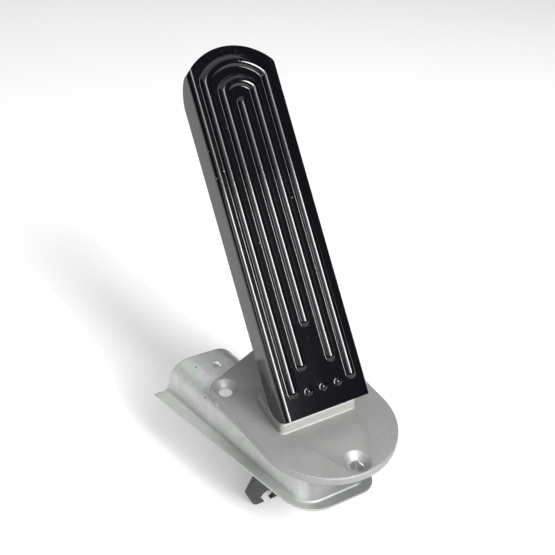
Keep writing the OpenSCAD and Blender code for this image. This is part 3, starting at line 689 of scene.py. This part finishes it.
def wall_path(side, front):
    """The housing's outline at distances side and front inside the feet of the side walls and the
    front wall: down the left wall, round to the front, along it, round to the right wall and back up
    it. Outside the feet the left line turns into the flange's edge, and the corners widen. Also gives
    each point's share of front, 0 along the sides and 1 along the front wall."""
    out = np.clip(-side / FLANGE_W, 0, 1)
    angle = LEFT_DIR + out * (EDGE_DIR - LEFT_DIR)
    left_in = np.array([math.sin(angle), -math.cos(angle)])
    right_in = np.array([-math.sin(RIGHT_DIR), math.cos(RIGHT_DIR)])
    left = LEFT_FOOT + out * (EDGE_LEFT - LEFT_FOOT) + max(side, 0.0) * left_in
    right = RIGHT_FOOT + side * right_in
    r_left = 15.0 + 10.0 * out - 0.45 * max(side, 0.0)
    r_right = 6.0 + 6.5 * out - 0.2 * max(side, 0.0)
    front_y = HOUSE_FRONT + front
    arcs = []
    for point, inward, r, ends in (
        (left, left_in, r_left, (math.atan2(-left_in[1], -left_in[0]) % (2 * math.pi), 1.5 * math.pi)),
        (right, right_in, r_right, (-0.5 * math.pi, math.atan2(-right_in[1], -right_in[0]))),
    ):
        k = np.linspace(*ends, 14)
        centre = line_at(point + r * inward, inward, front_y + r)
        arcs.append(centre + r * np.stack([np.cos(k), np.sin(k)], -1))
    lerp = np.linspace(0, 1, 34)[:, None]
    rear_left, rear_right = line_at(left, left_in, HOUSE_BACK), line_at(right, right_in, HOUSE_BACK)
    path = [
        rear_left + (arcs[0][0] - rear_left) * lerp[:-1],
        arcs[0],
        arcs[0][-1] + (arcs[1][0] - arcs[0][-1]) * np.linspace(0, 1, 15)[1:-1, None],
        arcs[1],
        arcs[1][-1] + (rear_right - arcs[1][-1]) * lerp[1:],
    ]
    ease = np.linspace(0, 1, 14) ** 2 * (3 - 2 * np.linspace(0, 1, 14))
    share = np.concatenate([np.zeros(33), ease, np.ones(13), ease[::-1], np.zeros(33)])
    return np.concatenate(path), share


def hat_profile(shoulder):
    """(distance inside the foot, height) from the flat top over a shoulder of the given radius, down
    the drafted wall, round the foot and over the flange to its edge."""
    knee = HOUSE_H * math.tan(DRAFT) + math.tan(math.pi / 4 - DRAFT / 2) * shoulder
    rows = []
    for k in np.linspace(np.pi / 2, np.pi - DRAFT, 17):
        rows.append((knee + shoulder * math.cos(k), -shoulder + shoulder * math.sin(k)))
    run = FOOT_R * math.tan((math.pi / 2 - DRAFT) / 2)
    low = (run * math.sin(DRAFT), -HOUSE_H + run * math.cos(DRAFT))
    top = rows[-1]
    for k in np.linspace(0, 1, 8)[1:-1]:
        rows.append((top[0] + (low[0] - top[0]) * k, top[1] + (low[1] - top[1]) * k))
    for k in np.linspace(-DRAFT, -np.pi / 2, 9):
        rows.append((-run + FOOT_R * math.cos(k), -HOUSE_H + FOOT_R + FOOT_R * math.sin(k)))
    for k in (0.3, 0.6, 0.85, 1.0):
        rows.append((-run + (run - FLANGE_W) * k, -HOUSE_H))
    return rows


def hat_rows():
    """Rows of points of the hat: its flat top from the middle line outwards, then the profile down to
    the flange's edge, each row a walls' path at that distance inside the foot."""
    sides, fronts = hat_profile(SIDE_R), hat_profile(FRONT_R)
    first, _ = wall_path(sides[0][0], fronts[0][0])
    count = len(first)
    front_mid = first[count // 2] + np.array([0.0, 14.0])
    rear_mid = (first[0] + first[-1]) / 2
    level_y = np.maximum((first[:, 1] + first[::-1, 1]) / 2, front_mid[1])
    part = (level_y - front_mid[1]) / (rear_mid[1] - front_mid[1])
    spine = front_mid + (rear_mid - front_mid) * part[:, None]
    rows = []
    for k in (0.0, 0.35, 0.7):
        rows.append(np.concatenate([spine + (first - spine) * k, np.zeros((count, 1))], 1))
    for (side, side_z), (front, front_z) in zip(sides, fronts):
        path, share = wall_path(side, front)
        z = side_z + (front_z - side_z) * share
        rows.append(np.concatenate([path, z[:, None]], 1))
    return np.array(rows)


def housing_cuts():
    """What is cut out of the hat: all behind its open end, the slot for the mechanism, room for the
    fixing holes and the screws, and the lanced hole."""
    far, past = 200, HOUSE_BACK + 9
    corners = [(-far, HOUSE_BACK), (far, HOUSE_BACK), (far, past), (-far, past)]
    slot = (MID_X - MOUTH_W / 2 - 1, MID_X + MOUTH_W / 2 + 3, LUG_Y0 - 2.0, 69.5)
    lance = (LANCE_X - LANCE_W / 2, LANCE_X + LANCE_W / 2, LANCE_Y - LANCE_L / 2, LANCE_Y + LANCE_L / 2)
    cutters = [stack("behind", [[(x, y, z) for x, y in corners] for z in (-60, 20)])]
    cutters.append(round_post("slot", slot, 3.0, [(0, -11.0), (0, 10.0)]))
    for i, (hx, hy) in enumerate(HOLES):
        cutters.append(lathe(f"room_{i}", [(7.0, -11.0), (7.0, 10.0)], (hx, hy, 0.0)))
    for i, (sx, sy) in enumerate(SCREW_SPOTS):
        cutters.append(lathe(f"pass_{i}", [(2.8, -8.0), (2.8, 10.0)], (sx, sy, 0.0), "z", 28))
    cutters.append(round_post("lance", lance, 0.8, [(0, -8.0), (0, 10.0)], 4))
    return cutters


def housing(material):
    """The pressed hat: the profile carried along the walls' path, its top closed onto a middle line,
    given the sheet's thickness inwards and softened at its edges, then cut; and its lanced tab, a
    strip that bends down with the power 1.4 of the way along it."""
    rows = hat_rows()
    faces = grid_faces(*rows.shape[:2], flip=True)
    obj = make_object("housing_pressing", rows.reshape(-1, 3), faces, 40.0)
    obj.modifiers.new("weld", "WELD").merge_threshold = 0.02 * MM
    give_thickness(obj, SHEET_T - 0.05)
    soft = obj.modifiers.new("soft", "BEVEL")
    soft.width = 0.4 * MM
    soft.segments = 3
    soft.limit_method = "ANGLE"
    soft.angle_limit = math.radians(60)
    apply_modifiers(obj)
    combine(obj, housing_cuts())
    shade(obj, 40.0)
    finish_piece(obj, "base", material, ("housing",))
    bend = np.linspace(0, 1, 9)
    x, z = LANCE_X - 3.2 + 5.9 * bend, -0.75 - 3.2 * bend**1.4
    half, thick = 2.2, 0.6
    section = [(-half, -thick), (half, -thick), (half, thick), (-half, thick)]
    rings = [[(xk, LANCE_Y + dy, zk + dz) for dy, dz in section] for xk, zk in zip(x, z)]
    finish_piece(stack("lanced_tab", rings, 30.0), "base", material)


# ---------------------------------------------------------------- lever, springs, fasteners


def round_corners(points, radii, steps=7):
    """A closed outline whose corners are replaced by arcs that touch both sides."""
    points = np.asarray(points, float)
    out = []
    for i, r in enumerate(radii):
        here, before, after = points[i], points[i - 1], points[(i + 1) % len(points)]
        u = (before - here) / np.linalg.norm(before - here)
        v = (after - here) / np.linalg.norm(after - here)
        half = math.acos(np.clip(u @ v, -1, 1)) / 2
        if r <= 0 or half > 1.5:
            out.append(here[None])
            continue
        reach = r / math.tan(half)
        middle = (u + v) / np.linalg.norm(u + v)
        centre = here + middle * r / math.sin(half)
        p, q = here + u * reach - centre, here + v * reach - centre
        a0 = math.atan2(p[1], p[0])
        sweep = (math.atan2(q[1], q[0]) - a0 + math.pi) % (2 * math.pi) - math.pi
        a = a0 + sweep * np.linspace(0, 1, steps)
        out.append(centre + r * np.stack([np.cos(a), np.sin(a)], -1))
    return np.concatenate(out)


def shrink(outline, inset):
    """A closed outline moved inwards by a small inset, along the mean of its sides' normals."""
    ahead = np.roll(outline, -1, 0) - outline
    back = outline - np.roll(outline, 1, 0)
    ahead /= np.linalg.norm(ahead, axis=1, keepdims=True) + 1e-12
    back /= np.linalg.norm(back, axis=1, keepdims=True) + 1e-12
    mean = ahead + back
    mean /= np.linalg.norm(mean, axis=1, keepdims=True) + 1e-12
    return outline + inset * np.stack([-mean[:, 1], mean[:, 0]], -1)


def lever(material):
    """Throttle lever: its outline with round corners and the keyhole, stamped from plate, its edges
    softened by small insets."""
    cx, low = -25.5, -80.0
    eye_r, eye_z, gap = 5.2, low + 4.61, 2.42
    corners = [
        (2.4, 10.5, 0.6), (-8.4, 10.5, 0.6), (-8.4, -4.3, 2.0), (cx - 10.4, low + 28.5, 3.0),
        (cx - 16.4, low + 15.5, 1.5), (cx - 16.5, low + 14.5, 1.5), (cx - 11.35, low + 2.5, 2.5),
        (cx - 8.75, low, 2.0), (cx - gap, low, 0), (cx + gap, low, 0), (cx + 9.75, low, 2.0),
        (cx + 16.5, low + 14.5, 2.0), (cx + 16.5, low + 17.5, 1.0), (-9.0, -18.0, 3.0),
        (2.4, -2.3, 3.0),
    ]
    mouth = math.asin(gap / eye_r)
    a = np.linspace(-math.pi / 2 - mouth, -math.pi / 2 + mouth - 2 * math.pi, 40)
    eye = np.stack([cx + eye_r * np.cos(a), eye_z + eye_r * np.sin(a)], -1)
    plain = round_corners([c[:2] for c in corners], [c[2] for c in corners])
    at = int(np.argmin(np.hypot(plain[:, 0] - cx + gap, plain[:, 1] - low)))
    outline = np.concatenate([plain[:at], eye, plain[at + 2 :]])
    face_y = PIVOT[1] + SLEEVE_R
    rings = []
    for inset, y in [(0.12, 3.0), (0.03, 2.96), (0.0, 2.88), (0.0, 0.12), (0.03, 0.04), (0.12, 0.0)]:
        o = shrink(outline, inset)
        rings.append(np.stack([o[:, 0], np.full(len(o), face_y + y), o[:, 1]], -1))
    obj = stack("lever_plate", rings, 50.0)
    return finish_piece(obj, "pedal", material, ("throttle_lever",))


def springs(material):
    """Return springs: a helix about the pivot with a leg to the collar's back wall and one under the
    bracket."""
    wire_r, coil_r, pitch = 0.9, SLEEVE_R + 0.8 + 0.9, 1.92
    fixed, moving = math.radians(70), math.radians(80)
    leg = (MOUTH_Y1 - 0.3 - wire_r - PIVOT[1] - coil_r * math.cos(fixed)) / math.sin(fixed)
    starts = {"left": -15.7, "right": 3.887}
    total = 6 * math.pi + moving - fixed
    end = fixed + total
    a = np.linspace(0, total, 150)
    y, z = PIVOT[1] + coil_r * np.cos(fixed + a), PIVOT[2] + coil_r * np.sin(fixed + a)
    for side, x0 in starts.items():
        coil = np.stack([x0 + pitch * a / (2 * math.pi), y, z], -1)
        first = coil[0] + leg * np.array([0, math.sin(fixed), -math.cos(fixed)])
        last = coil[-1] + 2.4 * np.array([0, -math.sin(end), math.cos(end)])
        straight = first + (coil[0] - first) * np.linspace(0, 1, 8)[:-1, None]
        tail = coil[-1] + (last - coil[-1]) * np.linspace(0, 1, 5)[1:, None]
        obj = tube(f"coil_{side}", np.concatenate([straight, coil, tail]), wire_r)
        finish_piece(obj, "base", material, (f"spring_{side}",))


def hex_radius(turn, across):
    """Radius of a hexagon across its flats at each angle."""
    return across / 2 / np.cos((turn % (math.pi / 3)) - math.pi / 6)


def threaded(name, y0, y1, radius, pitch, centre, steps=36, rows_per_turn=10):
    """A helical thread along Y: the radius falls and rises in a rounded V with height and angle."""
    turns = (y1 - y0) / pitch
    y = np.linspace(y0, y1, int(turns * rows_per_turn))[:, None]
    turn = np.linspace(0, 2 * np.pi, steps, endpoint=False)[None]
    phase = (y / pitch - turn / (2 * np.pi)) % 1
    depth = 0.30 * pitch * (1 - np.abs(2 * phase - 1)) ** 0.8
    ends = np.clip(np.minimum(y - y0, y1 - y) / 0.9, 0, 1)
    r = (radius - depth) * (0.78 + 0.22 * ends)
    rings = np.stack([centre[0] + r * np.sin(turn), y + 0 * turn, centre[1] + r * np.cos(turn)], -1)
    return stack(name, rings, 60.0)


def hex_body(name, y0, y1, across, centre, bore=None):
    """A hexagon along Y whose corners are cut back to a cone at both ends."""
    turn = np.linspace(0, 2 * np.pi, 96, endpoint=False)
    narrow, wide, edge = across / 2 * 0.96, across, 0.7
    ends = [(y0, narrow), (y0 + edge, wide), (y1 - edge, wide), (y1, narrow)]
    rows = []
    for (ya, ra), (yb, rb) in zip(ends[:-1], ends[1:]):
        rows += [(ya + (yb - ya) * k, ra + (rb - ra) * k) for k in np.linspace(0, 1, 6)[:-1]]
    rings = []
    for y, cone in [*rows, ends[-1]]:
        r = np.minimum(hex_radius(turn, across), cone)
        x, z = centre[0] + r * np.sin(turn), centre[1] + r * np.cos(turn)
        rings.append(np.stack([x, np.full(len(turn), y), z], -1))
    obj = stack(name, rings, 25.0)
    if bore:
        cut = [(bore, y0 - 1), (bore, y1 + 1)]
        combine(obj, [lathe("bore_cut", cut, (centre[0], 0, centre[1]), "y", 40)])
        shade(obj, 25.0)
    return obj


def pan_screw(name, sx, sy):
    """A pan-head screw as rings round its axis, from the thread's end over the head to its middle,
    where a cross recess is pressed in: the height falls where a point is within the cross's arms."""
    turn = np.linspace(0, 2 * np.pi, 96, endpoint=False)
    seat = -SHEET_T - 0.1
    profile = [
        (2.5, 3.6), (2.5, seat), (3.9, seat), (4.2, seat - 0.25), (4.2, seat - 0.8),
        (3.95, seat - 1.3), (3.4, seat - 1.75),
    ]
    rings = [(r, np.full(len(turn), z)) for r, z in profile]
    for r in np.linspace(3.0, 0.05, 22):
        dome = seat - 2.0 + 0.2 * (r / 3.0) ** 2
        px, py = np.abs(r * np.cos(turn)), np.abs(r * np.sin(turn))
        arm = np.maximum(np.minimum(px, py) - 0.45, np.maximum(px, py) - 2.5)
        rings.append((r, dome + 1.2 * np.clip(0.5 - arm / 0.25, 0, 1)))
    shape = [np.stack([sx + r * np.cos(turn), sy + r * np.sin(turn), z], -1) for r, z in rings]
    return stack(name, shape[::-1], 40.0)


def fasteners(material):
    """Stop screw with its thread and hexagon, its locknut, and the pan-head screws of the housing."""
    stop, wrench, pressed = (STOP_X, STOP_Z), 10.0, math.radians(18)
    head_y, nut_y = LUG_Y0 - 9.0, LUG_Y0 - 4.2
    reach = SLEEVE_R * math.cos(pressed) + (STOP_Z - PIVOT[2]) * math.sin(pressed)
    screw = threaded("stop_bolt", head_y + 3.0, PIVOT[1] + reach - 0.6, 2.98, 1.0, stop)
    combine(screw, [hex_body("stop_head", head_y, head_y + 4.0, wrench, stop)], "UNION")
    shade(screw, 30.0)
    finish_piece(screw, "base", material, ("stop_screw",))
    nut = hex_body("lock_nut", nut_y, nut_y + 4.0, wrench, stop, bore=3.0)
    finish_piece(nut, "base", material, ("stop_locknut",))
    for i, (sx, sy) in enumerate(SCREW_SPOTS, 1):
        obj = pan_screw(f"pan_screw_{i}", sx, sy)
        finish_piece(obj, "base", material, (f"cover_screw_{i}",))


def rubber_stop(material):
    """Idle stop: a turned rubber plug with a rounded nose."""
    a = np.linspace(0, np.pi / 2, 8)
    r, edge = 3.2, 0.9
    length = PIVOT[1] - SLEEVE_R - 0.4 - 0.15 - MOUTH_Y0 + 2.0
    nose = [(r - edge + edge * math.cos(k), length - edge + edge * math.sin(k)) for k in a]
    profile = [(r - 0.2, 0.0), (r, 0.2), (r, 1.9), (r, 2.1), *nose, (0.6, length)]
    obj = lathe("idle_pad", profile, (MID_X, MOUTH_Y0 - 2.0, 8.5), "y", 48)
    finish_piece(obj, "base", material, ("idle_bumper",))


def weld_beads(material):
    """Fillet welds: a bead whose radius swells in small ripples, along the bracket's edges under the
    tread."""
    half = 16.5
    spots = [(-1, 14.0, 30.0), (-1, 52.0, 68.0), (1, 14.0, 30.0), (1, 52.0, 68.0)]
    for i, (side, t0, t1) in enumerate(spots, 1):
        t = np.linspace(t0, t1, 70)
        wave = 1.15 + 0.16 * np.sin(t * 2 * np.pi / 1.4)
        fade = np.clip(np.minimum(t - t0, t1 - t) / 1.0, 0.15, 1) ** 0.5
        path = on_treadle(np.stack([side * (half + 0.2) + 0 * t, t, -TREAD_T - 0.35 + 0 * t], -1))
        obj = tube(f"weld_bead_{i}", path, wave * fade, 80.0)
        finish_piece(obj, "pedal", material)


# ---------------------------------------------------------------- light, floor and camera


def studio():
    """Pale floor that glows a little, dim surroundings, and soft lamps.

    The glossy treadle shows what stands round it: a tall softbox in front to the right gives the bright
    line on each rib, weaker ones to its left the fading side and the thin line at the ribs' left feet.
    """
    side = np.linspace(-3000, 3000, 9)
    gx, gy = np.meshgrid(side, side)
    level = np.stack([gx, gy, np.full_like(gx, -80.6)], -1).reshape(-1, 3)
    floor = make_object("studio_floor", level, grid_faces(len(side), len(side)))
    white = (1.0, 1.0, 1.0)
    glow = dict(Emission_Color=white, Emission_Strength=0.20)
    paint = Paint("pale_floor").set(Base_Color=(0.80, 0.80, 0.80), Roughness=0.9, **glow)
    floor.data.materials.append(paint)
    world = bpy.data.worlds.new("studio_light")
    bpy.context.scene.world = world
    world.use_nodes = True
    back = world.node_tree.nodes["Background"]
    back.inputs["Color"].default_value = (*white, 1.0)
    back.inputs["Strength"].default_value = 0.06
    lamps = [
        ("soft_top", (-0.10, 0.80, 2.20), (0.0, 0.08, 0.0), 3.2, 3.2, 30.0),
        ("key", *toward(12.5, 37.5, 2.4), 0.64, 1.00, 60.0),
        ("key_high", *toward(12.5, 59.0, 2.4), 0.64, 0.74, 14.0),
        ("key_side", *toward(-10.0, 37.0, 2.4), 0.92, 1.10, 14.0),
        ("side_high", *toward(-14.0, 60.0, 2.4), 0.92, 0.74, 5.0),
        ("wall_side", *toward(-42.0, 34.0, 2.4), 1.00, 1.20, 2.8),
        ("strip", *toward(-65.0, 21.0, 1.1), 0.16, 0.40, 1.3),
    ]
    for name, at, aim, wide, tall, power in lamps:
        data = bpy.data.lights.new(name, "AREA")
        data.shape = "RECTANGLE"
        data.size = wide
        data.size_y = tall
        data.energy = power
        lamp = bpy.data.objects.new(name, data)
        back_dir = np.array(at) - np.array(aim)
        back_dir /= np.linalg.norm(back_dir)
        side_dir = np.cross([0, 0, 1], back_dir)
        side_dir /= np.linalg.norm(side_dir)
        lamp.matrix_world = placed(side_dir, np.cross(back_dir, side_dir), back_dir, at)
        bpy.context.scene.collection.objects.link(lamp)
    bpy.context.scene.view_settings.view_transform = "Standard"


def toward(turn, rise, away):
    """Place of a lamp turned from the driver's side to the right and raised, in degrees, and its
    aim, in metres."""
    aim = np.array([0.0, 0.08, 0.08])
    t, e = math.radians(turn), math.radians(rise)
    way = np.array([math.sin(t) * math.cos(e), -math.cos(t) * math.cos(e), math.sin(e)])
    return aim + away * way, aim


def placed(right, up, back, at):
    """Matrix with these axes and this place."""
    return Matrix([[right[i], up[i], back[i], at[i]] for i in range(3)] + [[0, 0, 0, 1]])


def photo_camera():
    """Camera where the photograph was taken from, found from edge points of the plate and treadle."""
    data = bpy.data.cameras.new("photo_camera")
    data.sensor_width = 36.0
    data.lens = 48.3554
    data.clip_start = 0.01
    data.clip_end = 50.0
    camera = bpy.data.objects.new("photo_camera", data)
    camera.matrix_world = placed(
        (0.874789, -0.482301, 0.046148),
        (0.24007, 0.514219, 0.823374),
        (-0.420844, -0.7092, 0.565619),
        (-0.20053, -0.233654, 0.341634),
    )
    bpy.context.scene.collection.objects.link(camera)
    bpy.context.scene.camera = camera


# ---------------------------------------------------------------- the part

photo_camera()
studio()
enamel, casting, zinc = black_enamel(), cast_aluminium(), zinc_passivated()
coating, bright, wire = dark_coating(), bright_zinc(), spring_wire()
bronze, rubber, weld = sintered_bronze(), black_rubber(), weld_metal()

treadle(enamel)
base_plate(casting)
housing(zinc)
lever(coating)
springs(wire)
fasteners(bright)
rubber_stop(rubber)
weld_beads(weld)

node_finish = {
    "arm_bracket": enamel,
    "arm_sleeve": coating,
    "pivot_pin": bright,
    "pin_circlip": wire,
    "bush_left": bronze,
    "bush_right": bronze,
    "washer_left": bright,
    "washer_right": bright,
}
for name, finish in node_finish.items():
    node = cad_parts[name]
    node.data.materials.clear()
    node.data.materials.append(finish)
